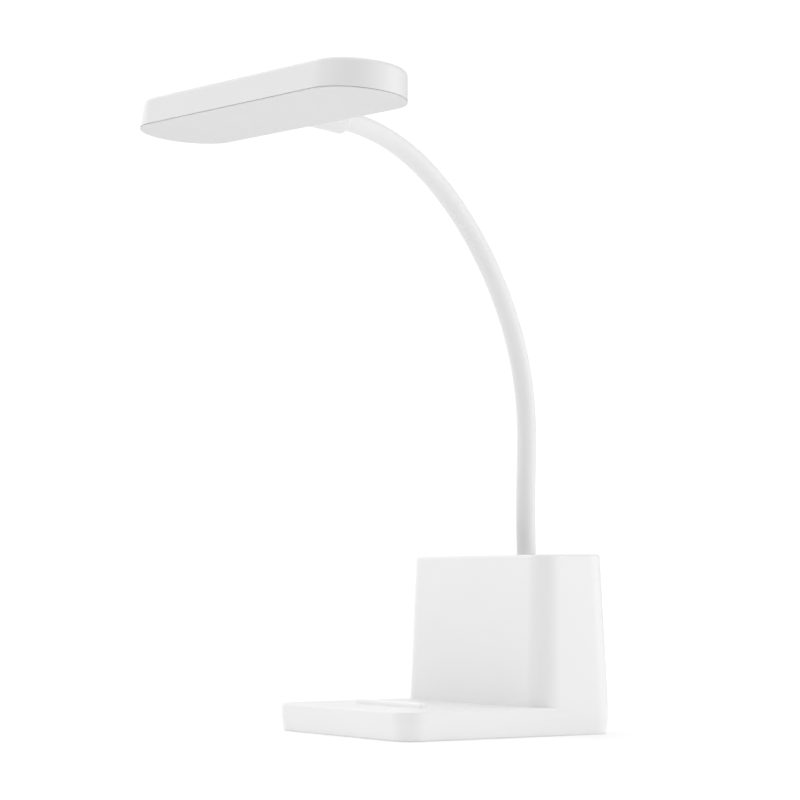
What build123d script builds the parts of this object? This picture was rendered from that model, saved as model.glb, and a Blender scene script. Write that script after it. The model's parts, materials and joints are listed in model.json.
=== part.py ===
from build123d import *
import math
import os

# Desk lamp: low slab with a phone stop, tapered upright with an open storage well,
# friction gooseneck and a pill-shaped LED head. Millimetres, +Z up, front is -Y.
# Origin: on the floor, under the centre of the slab.

# ---------------------------------------------------------------- driving dimensions
# casing
BASE_W = 159.3          # widest, left to right
BASE_D = 149.1          # front to back
BASE_BOT_INSET = 1.05   # the lower edge tapers in
RIM_Z = 0.8             # lower rim of the casing above the floor
SLAB_WIDE_Z = 10.0      # height where the slab is widest
SLAB_TOP = 17.0
SLAB_R = 14.0           # plan corners
SLAB_TOP_FILLET = 1.5
UP_TOP = 107.6          # top of the upright
UP_FRONT_Y = 18.65      # foot of the upright's front face
DRAFT_F = 0.041         # per mm of height
DRAFT_S = 0.0286
DRAFT_B = 0.039
UP_TOP_FILLET = 1.8
WALL = 2.4
BACK_WALL = 1.8         # behind the neck compartment
DECK_T = 3.2            # rear deck thickness
WELL_FLOOR = 32.2
WELL_FLOOR_T = 2.2
PART_Y0, PART_Y1 = 50.1, 52.5   # partition between well and neck compartment

# anti-slip pad under the whole casing
PAD_W, PAD_D = 156.6, 146.4

# phone stop
STOP_L, STOP_Y, STOP_T, STOP_H = 79.0, -39.4, 4.5, 2.9

# neck
NECK_Y = 62.6           # neck axis on the deck
NECK_PLANE = 6.69       # the neck's plane is turned about the vertical, degrees
NECK_R = 6.0            # sleeve
SLEEVE_IN = 4.9
CORE_R = 4.8
CORE_BORE = 1.2
CORE_HOLLOW = 3.2
GAP = 0.8               # half gap between sleeve lengths at a bend
BALL_R = 3.6
CUP_R = 3.9
# hinge centres and the middle of each length between them: forward reach, height
HINGES = [(0.20, 127.57), (-0.83, 169.59), (0.65, 211.54), (11.09, 252.16),
          (29.63, 289.82), (54.88, 323.34), (86.67, 350.67), (125.22, 366.87)]
MIDS = [(-0.08, 148.58), (-1.04, 190.60), (4.75, 232.14), (19.45, 271.44),
        (41.46, 307.17), (69.91, 338.01), (105.22, 360.47)]

# head
HEAD_REACH, HEAD_Z = 195.53, 365.19     # centre of the head's underside
HEAD_ROLL, HEAD_TILT = 1.74, -4.73
HEAD_R = 29.9          # half width at the lower rim
HEAD_STRAIGHT = 173.4
HEAD_T = 17.9
HEAD_DRAFT = 1.45
HEAD_WALL = 1.8
HEAD_TOP_T = 2.0
HEAD_FILLET = 3.4
HEAD_SEAM = 0.85         # lower edge of the casing above the diffuser flange
HEAD_TAPER_IN = 1.2      # the hollow narrows towards the top
SOCKET_H = 8.97         # neck axis above the head's underside
SOCKET_END = 54.0       # along the head's depth from its centre
SOCKET_R0, SOCKET_R1 = 8.9, 8.6

# button and charging socket
BTN_X, BTN_Y, BTN_R = 34.0, 61.0, 6.0
USB_X, USB_Z = -30.0, 11.2

os.makedirs("parts", exist_ok=True)


def save(name, shape):
    export_step(shape, "parts/%s.step" % name)


def group(solids):
    return Compound(children=[s for s in solids])


def one(shape):
    s = shape.solids()
    return s[0] if len(s) == 1 else shape


def rrect(w, d, r, x, y, z):
    return Plane(origin=(x, y, z)) * RectangleRounded(w, d, r)


def cyl(r, x, y, z0, z1):
    return Pos(x, y, (z0 + z1) / 2) * Cylinder(r, z1 - z0)


def block(x0, x1, y0, y1, z0, z1):
    return Pos((x0 + x1) / 2, (y0 + y1) / 2, (z0 + z1) / 2) * Box(x1 - x0, y1 - y0, z1 - z0)


def loft2(a, b):
    return loft([a, b])


# ---------------------------------------------------------------- base casing
by = BASE_D / 2
slab = loft2(rrect(BASE_W - 2 * BASE_BOT_INSET, BASE_D - 2 * BASE_BOT_INSET, SLAB_R - 1, 0, 0, RIM_Z),
             rrect(BASE_W, BASE_D, SLAB_R, 0, 0, SLAB_WIDE_Z))
slab += Pos(0, 0, SLAB_WIDE_Z) * extrude(RectangleRounded(BASE_W, BASE_D, SLAB_R), SLAB_TOP - SLAB_WIDE_Z)
slab = fillet(slab.edges().group_by(Axis.Z)[-1], SLAB_TOP_FILLET)

uh = UP_TOP - SLAB_TOP
fy0, fy1 = UP_FRONT_Y, by
ty0, ty1 = UP_FRONT_Y + DRAFT_F * uh, by - DRAFT_B * uh
tw = BASE_W - 2 * DRAFT_S * uh
upright = Pos(0, (fy0 + fy1) / 2, SLAB_WIDE_Z) * extrude(
    RectangleRounded(BASE_W, fy1 - fy0, SLAB_R), SLAB_TOP - SLAB_WIDE_Z)
up2 = loft2(rrect(BASE_W, fy1 - fy0, SLAB_R, 0, (fy0 + fy1) / 2, SLAB_TOP),
            rrect(tw, ty1 - ty0, SLAB_R - 0.6, 0, (ty0 + ty1) / 2, UP_TOP))
up2 = fillet(up2.edges().group_by(Axis.Z)[-1], UP_TOP_FILLET)
shell = slab + upright + up2

# hollow of the slab, of the upright's foot and of the neck compartment
shell -= Pos(0, 0, RIM_Z - 1) * extrude(RectangleRounded(BASE_W - 6.4, BASE_D - 6.9, 10.6), SLAB_TOP - 2.2 - RIM_Z + 1)
cav_y0, cav_y1 = UP_FRONT_Y + 3.2, by - 3.45
shell -= Pos(0, (cav_y0 + cav_y1) / 2, SLAB_TOP - 3) * extrude(
    RectangleRounded(BASE_W - 6.4, cav_y1 - cav_y0, 10.6), WELL_FLOOR - WELL_FLOOR_T - SLAB_TOP + 3)
comp_y1 = by - DRAFT_B * uh - BACK_WALL
shell -= block(-71.0, 71.0, PART_Y1, comp_y1, WELL_FLOOR, UP_TOP - DECK_T)
shell -= block(-56.0, 56.0, PART_Y1, comp_y1, WELL_FLOOR - WELL_FLOOR_T - 1, WELL_FLOOR + 1)

# open storage well
wt = rrect(tw - 2 * WALL, PART_Y0 - (ty0 + WALL), 9.0, 0, (PART_Y0 + ty0 + WALL) / 2, UP_TOP)
wb_y0 = fy0 + DRAFT_F * (WELL_FLOOR - SLAB_TOP) + WALL
wb = rrect(BASE_W - 2 * DRAFT_S * (WELL_FLOOR - SLAB_TOP) - 2 * WALL, PART_Y0 - wb_y0, 9.0,
           0, (PART_Y0 + wb_y0) / 2, WELL_FLOOR)
well = loft2(wb, wt)
well += Pos(0, 0, UP_TOP) * extrude(Pos(0, (PART_Y0 + ty0 + WALL) / 2, 0) * RectangleRounded(
    tw - 2 * WALL, PART_Y0 - (ty0 + WALL), 9.0), 2)
shell -= well

# screw pillars for the bottom cover and for the ballast plate
COVER_SCREWS = [(-66, -60), (66, -60), (-66, 60), (66, 60)]
BALLAST_SCREWS = [(-40, -26), (40, -26)]
for (sx, sy) in COVER_SCREWS:
    top = SLAB_TOP - 2.2 if sy < 0 else WELL_FLOOR - WELL_FLOOR_T
    shell += cyl(3.6, sx, sy, 3.0, top + 0.4)
for (sx, sy) in BALLAST_SCREWS:
    shell += cyl(3.6, sx, sy, 9.2, SLAB_TOP - 1.8)
for (sx, sy) in COVER_SCREWS:
    shell -= cyl(1.25, sx, sy, 2.0, 12.5)
for (sx, sy) in BALLAST_SCREWS:
    shell -= cyl(1.25, sx, sy, 8.0, 13.6)
# pillars for the button board
for sx in (BTN_X - 11, BTN_X + 11):
    shell += cyl(2.3, sx, BTN_Y, 95.5, UP_TOP - DECK_T + 0.4)
    shell -= cyl(0.9, sx, BTN_Y, 95.0, 103.5)
# deck holes: neck ferrule with its sleeve recess, and the button
shell -= cyl(4.9, 0, NECK_Y, UP_TOP - DECK_T - 1, UP_TOP + 1)
shell -= cyl(6.05, 0, NECK_Y, UP_TOP - 1.9, UP_TOP + 1)
shell -= cyl(BTN_R + 0.3, BTN_X, BTN_Y, UP_TOP - DECK_T - 1, UP_TOP + 1)
# charging socket slot through the back wall
slot = Plane(origin=(USB_X, by + 2, USB_Z), x_dir=(1, 0, 0), z_dir=(0, -1, 0)) * SlotOverall(9.8, 4.0)
shell -= extrude(slot, 8)
# groove for the phone stop
stop_cut = Pos(0, STOP_Y + STOP_T / 2, SLAB_TOP - 0.6) * extrude(RectangleRounded(STOP_L, STOP_T, 1.6), 2)
shell -= stop_cut
shell = one(shell)
save("base_shell", shell)

# phone stop strip, seated in its groove
stop = Pos(0, STOP_Y + STOP_T / 2, SLAB_TOP - 0.6) * extrude(RectangleRounded(STOP_L, STOP_T, 1.6), STOP_H + 0.6)
stop = fillet(stop.edges().group_by(Axis.Z)[-1], 1.4)
save("phone_stop", one(stop))

# bottom cover, recessed in the casing's rim
CW, CD = BASE_W - 6.8, BASE_D - 7.3
cover = Pos(0, 0, RIM_Z) * extrude(RectangleRounded(CW, CD, 10.4), 2.2)
for (sx, sy) in COVER_SCREWS:
    cover -= cyl(1.7, sx, sy, 0, 4)
    cover -= cyl(3.1, sx, sy, 0, RIM_Z + 1.2)
BOARD_POSTS = [(-46, 64.5), (6, 64.5)]
for (px, py) in BOARD_POSTS:
    cover += cyl(2.6, px, py, 2.6, 8.0)
    cover -= cyl(0.9, px, py, 3.4, 9.0)
# two locating ribs for the battery tray
cover += block(-60, 60, 21.3, 22.7, 2.8, 6.5)
save("bottom_cover", one(cover))

# anti-slip pad stuck over the bottom cover
pad = extrude(RectangleRounded(PAD_W, PAD_D, 12.8), RIM_Z)
save("antislip_pad", one(pad))


def pan_screw(x, y, z_head, head_r, head_h, shaft_r, shaft_len, up=True):
    s = 1 if up else -1
    if up:
        h = cyl(head_r, x, y, z_head, z_head + head_h)
        b = cyl(shaft_r, x, y, z_head + head_h, z_head + head_h + shaft_len)
        cr = Pos(x, y, z_head) * Box(head_r * 1.1, 0.6, 1.0) + Pos(x, y, z_head) * Box(0.6, head_r * 1.1, 1.0)
    else:
        h = cyl(head_r, x, y, z_head - head_h, z_head)
        b = cyl(shaft_r, x, y, z_head - head_h - shaft_len, z_head - head_h)
        cr = Pos(x, y, z_head) * Box(head_r * 1.1, 0.6, 1.0) + Pos(x, y, z_head) * Box(0.6, head_r * 1.1, 1.0)
    return one(h + b - cr)


save("cover_screws", group([pan_screw(sx, sy, 1.0, 2.8, 1.0, 1.25, 9.5) for (sx, sy) in COVER_SCREWS]))

# ballast plate under the slab
bal = Pos(0, -27, 3.6) * extrude(RectangleRounded(120, 78, 6), 5.6)
for (sx, sy) in BALLAST_SCREWS:
    bal -= cyl(1.7, sx, sy, 3, 10)
    bal -= cyl(3.1, sx, sy, 3, 5.6)
save("ballast_plate", one(bal))
save("ballast_screws", group([pan_screw(sx, sy, 3.8, 2.8, 1.8, 1.25, 7.4) for (sx, sy) in BALLAST_SCREWS]))

# battery tray and two cells
CELL_R, CELL_Y, CELL_Z = 9.2, 34.5, 14.0
tray = block(-69.5, 69.5, 24.0, 45.0, 3.0, 14.0)
tray -= Pos(0, CELL_Y, CELL_Z) * Rot(0, 90, 0) * Cylinder(CELL_R + 0.1, 134.4)
tray += block(-0.6, 0.6, 25.0, 44.0, 3.5, 14.0)
save("battery_tray", one(tray))
cells = []
for c in (-34.0, 34.0):
    body = Pos(c, CELL_Y, CELL_Z) * Rot(0, 90, 0) * Cylinder(CELL_R, 64.4)
    body += Pos(c + 32.5, CELL_Y, CELL_Z) * Rot(0, 90, 0) * Cylinder(2.8, 0.6)
    cells.append(one(body))
save("battery_cells", group(cells))
tabs = [block(-67.1, -66.7, CELL_Y - 4, CELL_Y + 4, CELL_Z - 5, CELL_Z + 7),
        block(66.9, 67.1, CELL_Y - 4, CELL_Y + 4, CELL_Z - 5, CELL_Z + 7),
        block(-1.0, -0.7, CELL_Y - 3, CELL_Y + 3, CELL_Z + 0.4, CELL_Z + 7)]
save("battery_contacts", group(tabs))

# control board with parts and screws
pcb = block(-50, 10, 48.0, 69.8, 8.0, 9.6)
for (px, py) in BOARD_POSTS:
    pcb -= cyl(1.1, px, py, 7, 11)
save("control_board", one(pcb))
save("board_screws", group([pan_screw(px, py, 11.0, 1.9, 1.4, 0.9, 5.6, up=False) for (px, py) in BOARD_POSTS]))
parts = [block(-12, -6, 52, 58, 9.6, 12.6), block(-24, -19, 50, 55, 9.6, 10.8), block(-2, 2, 50, 56, 9.6, 11.0),
         cyl(3.0, -42, 53, 9.6, 15.0), cyl(3.0, -34, 53, 9.6, 15.0), block(-17, -14, 60, 62, 9.6, 10.6)]
save("board_components", group(parts))

usb_out = Plane(origin=(USB_X, 66.8, USB_Z), x_dir=(-1, 0, 0), z_dir=(0, 1, 0)) * SlotOverall(8.94, 3.2)
usb_in = Plane(origin=(USB_X, 67.4, USB_Z), x_dir=(-1, 0, 0), z_dir=(0, 1, 0)) * SlotOverall(8.3, 2.56)
usb = extrude(usb_out, 7.2) - extrude(usb_in, 8)
usb += block(USB_X - 3.3, USB_X + 3.3, 67.0, 72.8, USB_Z - 0.35, USB_Z + 0.35)
save("charge_socket", one(usb))

# power button, its switch and board
btn = cyl(BTN_R, BTN_X, BTN_Y, UP_TOP - DECK_T - 0.1, UP_TOP + 0.15)
btn = fillet(btn.edges().group_by(Axis.Z)[-1], 0.4)
btn -= Pos(BTN_X, BTN_Y, UP_TOP + 0.15 + 29.5) * Sphere(30.0)
btn += cyl(BTN_R + 1.2, BTN_X, BTN_Y, UP_TOP - DECK_T - 1.3, UP_TOP - DECK_T - 0.1)
btn += cyl(2.0, BTN_X, BTN_Y, 100.7, UP_TOP - DECK_T - 0.5)
save("power_button", one(btn))
sw = block(BTN_X - 3, BTN_X + 3, BTN_Y - 3, BTN_Y + 3, 95.5, 98.9) + cyl(1.75, BTN_X, BTN_Y, 98.9, 99.7)
save("tact_switch", one(sw))
bb = block(BTN_X - 15, BTN_X + 15, BTN_Y - 5, BTN_Y + 5, 93.9, 95.5)
for sx in (BTN_X - 11, BTN_X + 11):
    bb -= cyl(1.1, sx, BTN_Y, 93, 96)
save("button_board", one(bb))
save("button_board_screws", group([pan_screw(sx, BTN_Y, 92.5, 1.9, 1.4, 0.9, 8.0)
                                   for sx in (BTN_X - 11, BTN_X + 11)]))

# neck fixing under the deck
fer = cyl(CORE_R, 0, NECK_Y, 90.0, UP_TOP + 0.2) - cyl(2.6, 0, NECK_Y, 89.0, 109.0)
save("neck_ferrule", one(fer))
wash = cyl(6.4, 0, NECK_Y, UP_TOP - DECK_T - 1.4, UP_TOP - DECK_T) - cyl(4.9, 0, NECK_Y, 100, 110)
save("neck_washer", one(wash))
nut_face = Plane(origin=(0, NECK_Y, UP_TOP - DECK_T - 7.4)) * RegularPolygon(7.0, 6)
nut = extrude(nut_face, 6.0) - cyl(CORE_R, 0, NECK_Y, 90, 110)
save("neck_lock_nut", one(nut))


# leads inside the base
def lead(points, r, bend):
    path = FilletPolyline(*points, radius=bend)
    start = path @ 0
    return one(sweep(Plane(origin=start, z_dir=path % 0) * Circle(r), path=path))


save("neck_lead", lead([(-6, NECK_Y, 9.7), (-6, NECK_Y, 18), (0, NECK_Y, 30), (0, NECK_Y, 104)], 1.2, 5))
save("button_lead", lead([(5, 56.0, 9.7), (5, 56.0, 22), (30, 58.0, 45), (30, 58.0, 93.8)], 0.9, 6))
save("battery_lead", lead([(67.9, 37.0, 18.0), (67.9, 48.5, 18.0), (4, 48.5, 18.0), (4, 52.0, 10.3)], 0.8, 2.0))


# ---------------------------------------------------------------- gooseneck
NECK_LOC = Location((0, NECK_Y, 0), (0, 0, NECK_PLANE))


def v3(p):
    return Vector(0, -p[0], p[1])


def circle3(a, b, c):
    ax, ay, bx, by_, cx, cy = a[0], a[1], b[0], b[1], c[0], c[1]
    d = 2 * (ax * (by_ - cy) + bx * (cy - ay) + cx * (ay - by_))
    ux = ((ax * ax + ay * ay) * (by_ - cy) + (bx * bx + by_ * by_) * (cy - ay) + (cx * cx + cy * cy) * (ay - by_)) / d
    uy = ((ax * ax + ay * ay) * (cx - bx) + (bx * bx + by_ * by_) * (ax - cx) + (cx * cx + cy * cy) * (bx - ax)) / d
    return (ux, uy), math.hypot(ax - ux, ay - uy)


class Arc:
    # arc through three points of the neck's plane, cut back by lengths at its ends
    def __init__(self, a, b, c):
        self.c, self.r = circle3(a, b, c)
        ang = [math.atan2(p[1] - self.c[1], p[0] - self.c[0]) for p in (a, b, c)]
        self.a0 = ang[0]
        self.da = ang[2] - ang[0]
        while self.da > math.pi:
            self.da -= 2 * math.pi
        while self.da < -math.pi:
            self.da += 2 * math.pi
        self.len = abs(self.da) * self.r

    def pt(self, s):
        a = self.a0 + self.da * s / self.len
        return (self.c[0] + self.r * math.cos(a), self.c[1] + self.r * math.sin(a))

    def tan(self, s):
        a = self.a0 + self.da * s / self.len
        k = 1 if self.da > 0 else -1
        return (-math.sin(a) * k, math.cos(a) * k)

    def edge(self, s0, s1):
        return ThreePointArc(v3(self.pt(s0)), v3(self.pt((s0 + s1) / 2)), v3(self.pt(s1)))

    def bar(self, s0, s1, r):
        pl = Plane(origin=v3(self.pt(s0)), z_dir=v3(self.tan(s0)))
        return one(sweep(pl * Circle(r), path=self.edge(s0, s1)))

    def tube(self, s0, s1, ro, ri):
        return one(self.bar(s0, s1, ro) - self.bar(s0, s1, ri))


def ball(p, r):
    return Location(v3(p)) * Sphere(r)


def stub(p, t, r, s0, s1):
    # straight round bar along t from p, between two distances
    o = v3(p) + v3(t) * s0
    return extrude(Plane(origin=o, z_dir=v3(t)) * Circle(r), s1 - s0)


NECK_SLEEVES = []
arcs = [Arc(HINGES[k], MIDS[k], HINGES[k + 1]) for k in range(7)]
# end of the neck: meets the head socket along the head's own depth
tt = math.radians(-HEAD_TILT)
pe = (HEAD_REACH - (SOCKET_END * math.cos(tt) + SOCKET_H * math.sin(tt)),
      HEAD_Z + (-SOCKET_END * math.sin(tt) + SOCKET_H * math.cos(tt)))
ch = (pe[0] - HINGES[7][0], pe[1] - HINGES[7][1])
cl = math.hypot(*ch)
al = math.atan2(ch[1], ch[0]) - tt
sg = cl / 2 * math.tan(al / 2)
mid = ((pe[0] + HINGES[7][0]) / 2 - ch[1] / cl * sg, (pe[1] + HINGES[7][1]) / 2 + ch[0] / cl * sg)
end_arc = Arc(HINGES[7], mid, pe)
end_dir = (math.cos(tt), math.sin(tt))

# base length: straight up from the deck
low = (0.0, UP_TOP)
up = (HINGES[0][0] - low[0], HINGES[0][1] - low[1])
ul = math.hypot(*up)
ud = (up[0] / ul, up[1] / ul)
s = extrude(Plane(origin=v3((0, UP_TOP - 1.8)), z_dir=v3(ud)) * (Circle(NECK_R) - Circle(SLEEVE_IN)), ul + 1.8 - GAP)
save("neck_sleeve_base", one(NECK_LOC * s))
c = one(extrude(Plane(origin=v3((0, UP_TOP + 0.3)), z_dir=v3(ud)) * Circle(CORE_R), ul - 0.3 - 2.6))
c = one(c + stub(HINGES[0], ud, 2.0, -2.8, -1.0))
c = one(c + ball(HINGES[0], BALL_R))
c = one(c - stub(HINGES[0], ud, CORE_BORE, -30, 8))
save("neck_core_base", one(NECK_LOC * c))

for k in range(7):
    a = arcs[k]
    L = a.len
    s = a.tube(GAP, L - GAP, NECK_R, SLEEVE_IN)
    save("neck_sleeve_%d" % (k + 1), one(NECK_LOC * s))
    c = one(stub(a.pt(0), a.tan(0), CORE_R, -0.8, 0.0) + a.bar(0, L - 2.6, CORE_R))
    c = one(c - a.bar(5.2, L - 4.6, CORE_HOLLOW))
    c = one(c - ball(HINGES[k], CUP_R))
    c = one(c - stub(a.pt(0), a.tan(0), CORE_BORE, 0, 6.2))
    c = one(c + stub(HINGES[k + 1], a.tan(L), 2.0, -2.8, -1.0))
    c = one(c + ball(HINGES[k + 1], BALL_R))
    c = one(c - stub(HINGES[k + 1], a.tan(L), CORE_BORE, -5.2, 5.0))
    save("neck_core_%d" % (k + 1), one(NECK_LOC * c))

# head length: arc into the socket, then straight
IN_SOCKET = 10.0
s = end_arc.tube(GAP, end_arc.len, NECK_R, SLEEVE_IN)
s += extrude(Plane(origin=v3(pe), z_dir=v3(end_dir)) * (Circle(NECK_R) - Circle(SLEEVE_IN)), IN_SOCKET)
save("neck_sleeve_head", one(NECK_LOC * s))
c = one(stub(end_arc.pt(0), end_arc.tan(0), CORE_R, -0.8, 0.0) + end_arc.bar(0, end_arc.len, CORE_R))
c = one(c + extrude(Plane(origin=v3(pe), z_dir=v3(end_dir)) * Circle(CORE_R), IN_SOCKET))
c = one(c - ball(HINGES[7], CUP_R))
c = one(c - stub(HINGES[7], end_arc.tan(0), CORE_BORE, 0, 7))
save("neck_core_head", one(NECK_LOC * c))

# ---------------------------------------------------------------- head
HEAD_DX = -math.sin(math.radians(HEAD_ROLL)) * (-SOCKET_END * math.sin(tt) + SOCKET_H * math.cos(tt))
HEAD_LOC = (NECK_LOC * Location((HEAD_DX, -HEAD_REACH, HEAD_Z))
            * Location((0, 0, 0), (0, HEAD_ROLL, 0)) * Location((0, 0, 0), (HEAD_TILT, 0, 0)))


def pill(r, z):
    return Plane(origin=(0, 0, z)) * SlotOverall(HEAD_STRAIGHT + 2 * r, 2 * r)


hs = loft2(pill(HEAD_R, 0), pill(HEAD_R - HEAD_DRAFT, HEAD_T))
hs = fillet(hs.edges().group_by(Axis.Z)[-1], HEAD_FILLET)
hs -= loft2(pill(HEAD_R - HEAD_WALL - 0.2, 0), pill(HEAD_R - HEAD_WALL - 0.2 - HEAD_TAPER_IN, HEAD_T - HEAD_TOP_T))
hs -= block(-150, 150, -40, 40, -3, HEAD_SEAM)
HEAD_SCREWS = [(-78, -15), (78, -15), (-78, 15), (78, 15)]
for (sx, sy) in HEAD_SCREWS:
    hs += cyl(2.8, sx, sy, 11.6, HEAD_T - HEAD_TOP_T + 0.4)
    hs -= cyl(0.95, sx, sy, 11.0, HEAD_T - 1.2)
# hole for the neck ferrule in the back wall
hole = Plane(origin=(0, HEAD_R + 3, SOCKET_H), z_dir=(0, -1, 0)) * Circle(4.9)
hs -= extrude(hole, 9)
save("head_shell", one(HEAD_LOC * one(hs)))

GAPD = 0.5
rd = HEAD_R - HEAD_WALL - 0.2 - GAPD
# full-width flange, a narrower neck that leaves a shadow groove, and a plate inside the walls
dif = extrude(pill(HEAD_R - 0.12, 0), 0.5)
dif = chamfer(dif.edges().group_by(Axis.Z)[0], 0.15)
dif += extrude(pill(HEAD_R - 0.75, 0.4), 0.43)
dif += extrude(pill(rd, 0.8), 1.7)
save("diffuser", one(HEAD_LOC * one(dif)))

notch = block(-9, 9, HEAD_R - 13, HEAD_R + 3, 2.55, 20)
ro, ri = rd - 0.7, rd - 2.8
ref = Pos(0, 0, 2.5) * extrude(SlotOverall(HEAD_STRAIGHT + 2 * ro, 2 * ro) - SlotOverall(HEAD_STRAIGHT + 2 * ri, 2 * ri), 7.9)
ref -= notch
save("reflector_frame", one(HEAD_LOC * one(ref)))

lb = Pos(0, 0, 10.4) * extrude(SlotOverall(HEAD_STRAIGHT + 2 * ro, 2 * ro), 1.2) - notch
for (sx, sy) in HEAD_SCREWS:
    lb -= cyl(1.3, sx, sy, 10, 12)
save("led_board", one(HEAD_LOC * one(lb)))
leds = []
for i in range(14):
    for y in (-9.0, 7.0):
        leds.append(HEAD_LOC * block(-84.5 + 13 * i - 1.75, -84.5 + 13 * i + 1.75, y - 1.4, y + 1.4, 9.6, 10.4))
save("led_chips", group(leds))
save("head_screws", group([HEAD_LOC * pan_screw(sx, sy, 9.0, 2.2, 1.4, 0.95, 4.6) for (sx, sy) in HEAD_SCREWS]))

back_y = HEAD_R - HEAD_DRAFT * SOCKET_H / HEAD_T
fer2 = extrude(Plane(origin=(0, SOCKET_END - IN_SOCKET - 0.1, SOCKET_H), z_dir=(0, -1, 0)) * (Circle(CORE_R) - Circle(2.4)),
               SOCKET_END - IN_SOCKET - (HEAD_R - 9.6))
save("head_ferrule", one(HEAD_LOC * one(fer2)))
nut2 = Plane(origin=(0, HEAD_R - HEAD_WALL - 1.5, SOCKET_H), x_dir=(1, 0, 0), z_dir=(0, -1, 0)) * RegularPolygon(6.9, 6)
nut2 = extrude(nut2, 5.0) - extrude(Plane(origin=(0, HEAD_R, SOCKET_H), z_dir=(0, -1, 0)) * Circle(CORE_R), 12)
save("head_lock_nut", one(HEAD_LOC * one(nut2)))

# socket: a collar over the end of the neck, with a rounded lip
a0 = Plane(origin=(0, back_y - 1.0, SOCKET_H), z_dir=(0, 1, 0)) * Circle(SOCKET_R1)
a1 = Plane(origin=(0, SOCKET_END + 1.4, SOCKET_H), z_dir=(0, 1, 0)) * Circle(SOCKET_R0)
so = loft2(a0, a1)
so = fillet(so.edges().group_by(Axis.Y)[-1], 2.7)
so -= loft2(pill(HEAD_R, 0), pill(HEAD_R - HEAD_DRAFT, HEAD_T))
so -= extrude(Plane(origin=(0, SOCKET_END + 3, SOCKET_H), z_dir=(0, -1, 0)) * Circle(NECK_R + 0.1), IN_SOCKET + 3.15)
so -= extrude(Plane(origin=(0, SOCKET_END, SOCKET_H), z_dir=(0, -1, 0)) * Circle(CORE_R + 0.03), SOCKET_END)
save("head_socket", one(HEAD_LOC * one(so)))
print("neck end", pe, "arc lengths", [round(a.len, 2) for a in arcs], round(end_arc.len, 2))
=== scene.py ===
import bpy, bmesh, math, json
from mathutils import Vector, Matrix

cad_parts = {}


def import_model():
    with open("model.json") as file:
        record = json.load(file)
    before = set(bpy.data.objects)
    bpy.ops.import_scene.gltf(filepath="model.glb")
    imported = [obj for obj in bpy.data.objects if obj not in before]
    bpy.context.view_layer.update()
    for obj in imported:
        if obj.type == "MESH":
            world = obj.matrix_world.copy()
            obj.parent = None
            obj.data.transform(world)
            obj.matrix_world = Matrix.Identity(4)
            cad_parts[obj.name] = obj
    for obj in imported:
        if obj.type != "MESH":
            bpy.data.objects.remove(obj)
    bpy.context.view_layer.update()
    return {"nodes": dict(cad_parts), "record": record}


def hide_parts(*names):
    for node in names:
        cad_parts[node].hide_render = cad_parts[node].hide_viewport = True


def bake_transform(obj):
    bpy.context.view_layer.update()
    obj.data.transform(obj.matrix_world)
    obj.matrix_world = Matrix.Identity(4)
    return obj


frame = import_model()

scene = bpy.context.scene
scene.view_settings.view_transform = "Standard"
scene.view_settings.look = "None"

# ------------------------------------------------------------------ camera
F_PX, PITCH, AZ, DIST, CZ, LAT, ROLL = 2564.1, 4.047, 59.402, 1.58117, 0.092041, -0.024826, -0.327
a, t, ro = math.radians(AZ), math.radians(PITCH), math.radians(ROLL)
vh = Vector((-math.sin(a), math.cos(a), 0.0))
right = Vector((math.cos(a), math.sin(a), 0.0))
zz = Vector((0, 0, 1))
fwd = vh * math.cos(t) + zz * math.sin(t)
upv = -vh * math.sin(t) + zz * math.cos(t)
r2 = right * math.cos(ro) + upv * math.sin(ro)
u2 = -right * math.sin(ro) + upv * math.cos(ro)
cam_d = bpy.data.cameras.new("cam")
cam_d.sensor_width = 36.0
cam_d.lens = F_PX * 36.0 / 800.0
cam_d.clip_start = 0.01
cam_d.clip_end = 100.0
cam = bpy.data.objects.new("cam", cam_d)
scene.collection.objects.link(cam)
m = Matrix((r2, u2, -fwd)).transposed().to_4x4()
m.translation = -vh * DIST + right * LAT + Vector((0, 0, CZ))
cam.matrix_world = m
scene.camera = cam


# ------------------------------------------------------------------ node helpers
def new_mat(name):
    mt = bpy.data.materials.new(name)
    mt.use_nodes = True
    nt = mt.node_tree
    for n in list(nt.nodes):
        nt.nodes.remove(n)
    out = nt.nodes.new("ShaderNodeOutputMaterial")
    bs = nt.nodes.new("ShaderNodeBsdfPrincipled")
    nt.links.new(bs.outputs["BSDF"], out.inputs["Surface"])
    return mt, nt, bs


def noise(nt, scale, detail=2.0, rough=0.5, stretch=None, kind="ShaderNodeTexNoise"):
    tc = nt.nodes.new("ShaderNodeTexCoord")
    mp = nt.nodes.new("ShaderNodeMapping")
    nt.links.new(tc.outputs["Object"], mp.inputs["Vector"])
    if stretch:
        mp.inputs["Scale"].default_value = stretch
    n = nt.nodes.new(kind)
    n.inputs["Scale"].default_value = scale
    if kind == "ShaderNodeTexNoise":
        n.inputs["Detail"].default_value = detail
        n.inputs["Roughness"].default_value = rough
    nt.links.new(mp.outputs["Vector"], n.inputs["Vector"])
    return n.outputs["Fac"] if kind == "ShaderNodeTexNoise" else n.outputs["Distance"]


def ramp(nt, fac, c0, c1, p0=0.3, p1=0.7):
    r = nt.nodes.new("ShaderNodeValToRGB")
    r.color_ramp.elements[0].position = p0
    r.color_ramp.elements[1].position = p1
    r.color_ramp.elements[0].color = (*c0, 1)
    r.color_ramp.elements[1].color = (*c1, 1)
    nt.links.new(fac, r.inputs["Fac"])
    return r.outputs["Color"]


def span(nt, fac, lo, hi):
    r = nt.nodes.new("ShaderNodeMapRange")
    r.inputs["From Min"].default_value = 0.25
    r.inputs["From Max"].default_value = 0.75
    r.inputs["To Min"].default_value = lo
    r.inputs["To Max"].default_value = hi
    nt.links.new(fac, r.inputs["Value"])
    return r.outputs["Result"]


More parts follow.
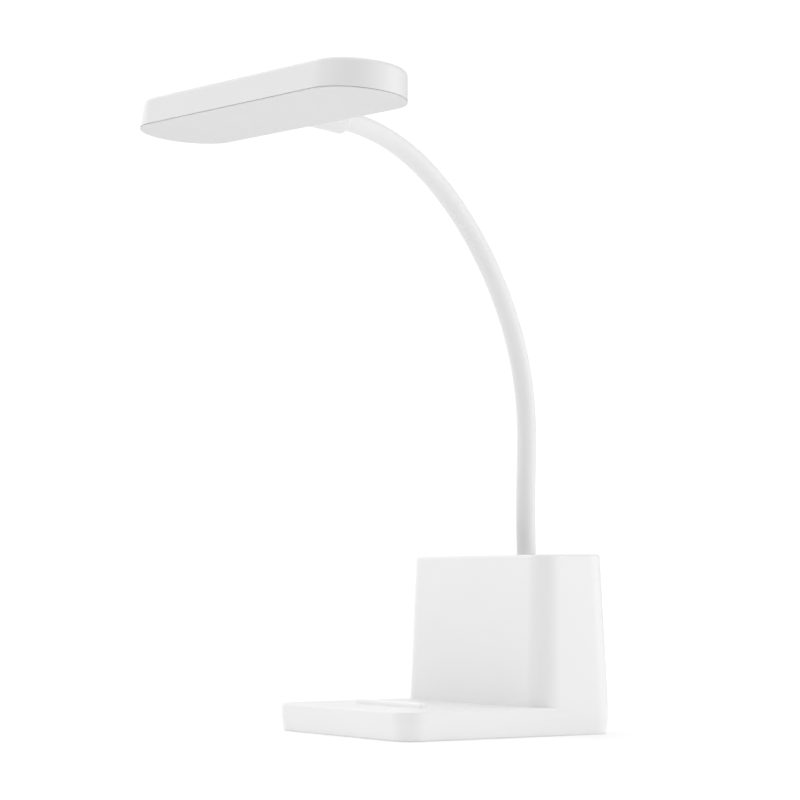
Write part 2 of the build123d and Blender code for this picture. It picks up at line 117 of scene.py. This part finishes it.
def bump(nt, bs, height, dist, strength):
    b = nt.nodes.new("ShaderNodeBump")
    b.inputs["Distance"].default_value = dist
    b.inputs["Strength"].default_value = strength
    nt.links.new(height, b.inputs["Height"])
    nt.links.new(b.outputs["Normal"], bs.inputs["Normal"])


def plastic(name, c0, c1, r_lo, r_hi, grain=2600.0, depth=0.00002, strength=0.25, blotch=9.0, spec=0.5):
    mt, nt, bs = new_mat(name)
    n1 = noise(nt, blotch, 3.0)
    nt.links.new(ramp(nt, n1, c0, c1), bs.inputs["Base Color"])
    n2 = noise(nt, 60.0, 4.0, 0.6)
    nt.links.new(span(nt, n2, r_lo, r_hi), bs.inputs["Roughness"])
    n3 = noise(nt, grain, 2.0, 0.5)
    bump(nt, bs, n3, depth, strength)
    bs.inputs["Specular IOR Level"].default_value = spec
    return mt


def metal(name, c0, c1, r_lo, r_hi, stretch=(1, 1, 1), scale=900.0):
    mt, nt, bs = new_mat(name)
    bs.inputs["Metallic"].default_value = 1.0
    n1 = noise(nt, 14.0, 3.0)
    nt.links.new(ramp(nt, n1, c0, c1), bs.inputs["Base Color"])
    n2 = noise(nt, scale, 3.0, 0.6, stretch)
    nt.links.new(span(nt, n2, r_lo, r_hi), bs.inputs["Roughness"])
    bump(nt, bs, n2, 0.00002, 0.2)
    return mt


MAT = {}
MAT["casing_white"] = plastic("casing_white", (0.83, 0.83, 0.83), (0.85, 0.85, 0.85), 0.34, 0.42)
HEAD_MAT = plastic("head_white", (0.745, 0.745, 0.745), (0.765, 0.765, 0.765), 0.34, 0.42)
MAT["silicone_white"] = plastic("silicone_white", (0.775, 0.775, 0.775), (0.795, 0.795, 0.795), 0.48, 0.56,
                                grain=1800.0, depth=0.00003, strength=0.2, blotch=14.0, spec=0.4)
MAT["stop_silicone"] = plastic("stop_silicone", (0.93, 0.93, 0.93), (0.95, 0.95, 0.95), 0.5, 0.6,
                               grain=1800.0, depth=0.00003, strength=0.2, spec=0.4)
MAT["opal"] = plastic("opal", (0.685, 0.685, 0.685), (0.70, 0.70, 0.70), 0.5, 0.6, grain=3600.0, depth=0.00003, strength=0.3,
                      spec=0.35)
MAT["inner_white"] = plastic("inner_white", (0.70, 0.70, 0.69), (0.74, 0.74, 0.73), 0.45, 0.6, grain=1500.0)
MAT["pad_silicone"] = plastic("pad_silicone", (0.77, 0.77, 0.76), (0.81, 0.81, 0.80), 0.7, 0.85, grain=700.0, depth=0.0001,
                             strength=0.5, blotch=60.0, spec=0.25)
MAT["steel"] = metal("steel", (0.52, 0.53, 0.54), (0.62, 0.62, 0.62), 0.25, 0.45)
MAT["ballast_steel"] = plastic("ballast_steel", (0.045, 0.045, 0.05), (0.07, 0.07, 0.07), 0.4, 0.6, grain=1200.0,
                               depth=0.00006, strength=0.5)
MAT["cell_wrap"] = plastic("cell_wrap", (0.03, 0.12, 0.28), (0.04, 0.15, 0.33), 0.25, 0.4, grain=800.0)
MAT["nickel"] = metal("nickel", (0.58, 0.56, 0.52), (0.68, 0.66, 0.62), 0.2, 0.35)
MAT["board_green"] = plastic("board_green", (0.01, 0.09, 0.04), (0.015, 0.12, 0.06), 0.3, 0.45, grain=700.0, blotch=220.0)
MAT["chip_black"] = plastic("chip_black", (0.015, 0.015, 0.015), (0.03, 0.03, 0.03), 0.45, 0.6, grain=2600.0)
MAT["board_white"] = plastic("board_white", (0.62, 0.62, 0.6), (0.68, 0.68, 0.66), 0.35, 0.5, grain=1500.0, blotch=200.0)
MAT["led"] = plastic("led", (0.75, 0.60, 0.16), (0.82, 0.68, 0.22), 0.4, 0.55, grain=2500.0, blotch=400.0)
MAT["wire_black"] = plastic("wire_black", (0.02, 0.02, 0.02), (0.035, 0.035, 0.035), 0.4, 0.55, grain=1600.0)

slots = {s["node"]: s["material_slot"] for s in frame["record"]["subparts"]}
for name, ob in frame["nodes"].items():
    mt = HEAD_MAT if name in ("head_shell", "head_socket") else MAT[slots[name]]
    if not ob.material_slots:
        ob.data.materials.append(mt)
    for ms in ob.material_slots:
        ms.link = "OBJECT"
        ms.material = mt

# ------------------------------------------------------------------ neck sleeve, one smooth silicone tube in eight bending lengths
PSI, NECK_Y = math.radians(6.69), 0.0626
HINGES = [(0.20, 127.57), (-0.83, 169.59), (0.65, 211.54), (11.09, 252.16),
          (29.63, 289.82), (54.88, 323.34), (86.67, 350.67), (125.22, 366.87)]
MIDS = [(-0.08, 148.58), (-1.04, 190.60), (4.75, 232.14), (19.45, 271.44),
        (41.46, 307.17), (69.91, 338.01), (105.22, 360.47)]
TILT = math.radians(4.73)
END = (140.9742, 369.6766)
IN_END = (END[0] + 9.8 * math.cos(TILT), END[1] + 9.8 * math.sin(TILT))


def world(p):
    r, z = p[0] / 1000.0, p[1] / 1000.0
    return Vector((r * math.sin(PSI), NECK_Y - r * math.cos(PSI), z))


knots = [(0.0, 105.85), (0.0, 112.0), HINGES[0]]
for k in range(7):
    knots += [MIDS[k], HINGES[k + 1]]
knots += [(133.06, 368.44), END, IN_END]


def tangents(ps):
    ts = []
    n = len(ps)
    for i in range(n):
        p0, p1 = ps[max(i - 1, 0)], ps[min(i + 1, n - 1)]
        if i == 0 or i == n - 1:
            d = Vector(p1) - Vector(p0)
            ts.append(d.normalized())
        else:
            a_, b_, c_ = Vector(ps[i - 1]), Vector(ps[i]), Vector(ps[i + 1])
            l1, l2 = (b_ - a_).length, (c_ - b_).length
            d = (b_ - a_) / l1 * l2 + (c_ - b_) / l2 * l1
            ts.append(d.normalized())
    return ts


tg = tangents(knots)
tg[0] = Vector((0.0, 1.0))
tg[-1] = Vector((math.cos(TILT), math.sin(TILT)))
tg[-2] = tg[-1].copy()


def hermite(i, u):
    p0, p1 = Vector(knots[i]), Vector(knots[i + 1])
    L = (p1 - p0).length
    m0, m1 = tg[i] * L, tg[i + 1] * L
    u2_, u3 = u * u, u * u * u
    p = p0 * (2 * u3 - 3 * u2_ + 1) + m0 * (u3 - 2 * u2_ + u) + p1 * (-2 * u3 + 3 * u2_) + m1 * (u3 - u2_)
    d = p0 * (6 * u2_ - 6 * u) + m0 * (3 * u2_ - 4 * u + 1) + p1 * (-6 * u2_ + 6 * u) + m1 * (3 * u2_ - 2 * u)
    return p, d.normalized()


RO, RI, SEG = 0.0060, 0.0053, 64
side = Vector((math.cos(PSI), math.sin(PSI), 0.0))


def ring(bm, p, d, r):
    c = world(p)
    tdir = Vector((d[0] * math.sin(PSI), -d[0] * math.cos(PSI), d[1]))
    nrm = side.cross(tdir).normalized()
    return [bm.verts.new(c + (side * math.cos(2 * math.pi * j / SEG) + nrm * math.sin(2 * math.pi * j / SEG)) * r)
            for j in range(SEG)]


def sleeve_piece(name, i0, i1, steps_mm=1.6):
    bm = bmesh.new()
    outer, inner = [], []
    for i in range(i0, i1):
        L = (Vector(knots[i + 1]) - Vector(knots[i])).length
        n = max(2, int(round(L / steps_mm)))
        for s in range(n + (1 if i == i1 - 1 else 0)):
            p, d = hermite(i, s / n)
            outer.append(ring(bm, p, d, RO))
            inner.append(ring(bm, p, d, RI))
    def skin(rings, flip):
        for ra, rb in zip(rings[:-1], rings[1:]):
            for j in range(SEG):
                k = (j + 1) % SEG
                f = [ra[j], ra[k], rb[k], rb[j]]
                fc = bm.faces.new(f[::-1] if flip else f)
                fc.smooth = True
    skin(outer, False)
    skin(inner, True)
    for ra, rb, flip in ((outer[0], inner[0], True), (outer[-1], inner[-1], False)):
        for j in range(SEG):
            k = (j + 1) % SEG
            f = [ra[j], ra[k], rb[k], rb[j]]
            fc = bm.faces.new(f[::-1] if flip else f)
            fc.smooth = False
    for v in outer[0] + outer[-1]:
        for e in v.link_edges:
            o = e.other_vert(v)
            if (v in outer[0] and o in outer[0]) or (v in outer[-1] and o in outer[-1]):
                e.smooth = False
    bmesh.ops.recalc_face_normals(bm, faces=bm.faces)
    me = bpy.data.meshes.new(name)
    bm.to_mesh(me)
    bm.free()
    ob = bpy.data.objects.new(name, me)
    scene.collection.objects.link(ob)
    ob.data.materials.append(MAT["silicone_white"])
    return ob


def knot_of(p):
    return knots.index(p)


cuts = [0] + [knot_of(MIDS[k]) for k in range(7)] + [len(knots) - 1]
nodes_for = [["neck_sleeve_base"]] + [["neck_sleeve_%d" % k] for k in range(1, 8)]
for k in range(8):
    ob = sleeve_piece("sleeve_bend_%d" % (k + 1), cuts[k], cuts[k + 1])
    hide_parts(*(nodes_for[k] + (["neck_sleeve_head"] if k == 7 else [])))
    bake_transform(ob)

# ------------------------------------------------------------------ floor, lights, world
me = bpy.data.meshes.new("floor")
bm = bmesh.new()
bmesh.ops.create_grid(bm, x_segments=8, y_segments=8, size=40.0)
bm.to_mesh(me)
bm.free()
floor = bpy.data.objects.new("floor", me)
scene.collection.objects.link(floor)
floor.location = (0, 0, -0.00002)
fm, nt, bs = new_mat("floor_white")
nt.links.new(ramp(nt, noise(nt, 2.0), (0.94, 0.94, 0.94), (0.95, 0.95, 0.95)), bs.inputs["Base Color"])
bs.inputs["Roughness"].default_value = 0.9
bs.inputs["Specular IOR Level"].default_value = 0.05
# a faint glow of the table far from the lamp, so that it stays white to its edge
bs.inputs["Emission Color"].default_value = (1, 1, 1, 1)
tc = nt.nodes.new("ShaderNodeTexCoord")
ln = nt.nodes.new("ShaderNodeVectorMath")
ln.operation = "LENGTH"
nt.links.new(tc.outputs["Object"], ln.inputs[0])
mr = nt.nodes.new("ShaderNodeMapRange")
mr.interpolation_type = "SMOOTHSTEP"
mr.inputs["From Min"].default_value = 0.15
mr.inputs["From Max"].default_value = 1.2
mr.inputs["To Min"].default_value = 0.075
mr.inputs["To Max"].default_value = 0.14
nt.links.new(ln.outputs["Value"], mr.inputs["Value"])
# and a little more close to the base, in place of the light that the base takes away there
mn = nt.nodes.new("ShaderNodeMapRange")
mn.interpolation_type = "SMOOTHSTEP"
mn.inputs["From Min"].default_value = 0.07
mn.inputs["From Max"].default_value = 0.20
mn.inputs["To Min"].default_value = 0.045
mn.inputs["To Max"].default_value = 0.0
nt.links.new(ln.outputs["Value"], mn.inputs["Value"])
sm = nt.nodes.new("ShaderNodeMath")
sm.operation = "ADD"
nt.links.new(mr.outputs["Result"], sm.inputs[0])
nt.links.new(mn.outputs["Result"], sm.inputs[1])
nt.links.new(sm.outputs[0], bs.inputs["Emission Strength"])
me.materials.append(fm)

w = bpy.data.worlds.new("studio")
scene.world = w
w.use_nodes = True
nt = w.node_tree
for n in list(nt.nodes):
    nt.nodes.remove(n)
out = nt.nodes.new("ShaderNodeOutputWorld")
mixs = nt.nodes.new("ShaderNodeMixShader")
lp = nt.nodes.new("ShaderNodeLightPath")
b1 = nt.nodes.new("ShaderNodeBackground")
b2 = nt.nodes.new("ShaderNodeBackground")
b1.inputs["Color"].default_value = (1, 1, 1, 1)
b2.inputs["Color"].default_value = (1, 1, 1, 1)
b2.inputs["Strength"].default_value = 1.05
nt.links.new(lp.outputs["Is Camera Ray"], mixs.inputs["Fac"])
nt.links.new(b1.outputs["Background"], mixs.inputs[1])
nt.links.new(b2.outputs["Background"], mixs.inputs[2])
nt.links.new(mixs.outputs["Shader"], out.inputs["Surface"])
tc = nt.nodes.new("ShaderNodeTexCoord")


def math_node(op, x, y):
    n = nt.nodes.new("ShaderNodeMath")
    n.operation = op
    for k_, v in enumerate((x, y)):
        if isinstance(v, (int, float)):
            n.inputs[k_].default_value = v
        else:
            nt.links.new(v, n.inputs[k_])
    return n.outputs[0]


# big soft panels all round: azimuth from the front towards the right, elevation, tightness, strength
PANELS = [(0, 12, 4, 0.84), (90, 12, 4, 0.44), (135, 12, 4, 1.35), (225, 12, 4, 0.22), (270, 12, 4, 1.46),
          (315, 12, 4, 0.52), (0, 90, 4, 1.00), (239, 50, 4, 0.15), (350, 45, 4, 0.32), (160, 8, 16, 0.60)]
total = 0.0
for az_, el_, tight, power in PANELS:
    x_, e_ = math.radians(az_), math.radians(el_)
    dp = nt.nodes.new("ShaderNodeVectorMath")
    dp.operation = "DOT_PRODUCT"
    dp.inputs[1].default_value = (math.sin(x_) * math.cos(e_), -math.cos(x_) * math.cos(e_), math.sin(e_))
    nt.links.new(tc.outputs["Generated"], dp.inputs[0])
    lobe = math_node("POWER", math_node("MAXIMUM", dp.outputs["Value"], 0.0), float(tight))
    total = math_node("ADD", math_node("MULTIPLY", lobe, power), total)
nt.links.new(total, b1.inputs["Strength"])


def area(name, loc, target, size, power):
    ld = bpy.data.lights.new(name, "AREA")
    ld.shape = "RECTANGLE"
    ld.size, ld.size_y = size
    ld.energy = power
    lo = bpy.data.objects.new(name, ld)
    scene.collection.objects.link(lo)
    lo.location = loc
    d = Vector(target) - Vector(loc)
    lo.rotation_euler = d.to_track_quat("-Z", "Y").to_euler()
    return lo


area("key_back", (0.9, 1.3, 0.5), (0, 0, 0.2), (1.0, 1.0), 2.9)
area("top", (0.0, 0.0, 1.6), (0, 0, 0), (1.2, 1.2), 1.3)

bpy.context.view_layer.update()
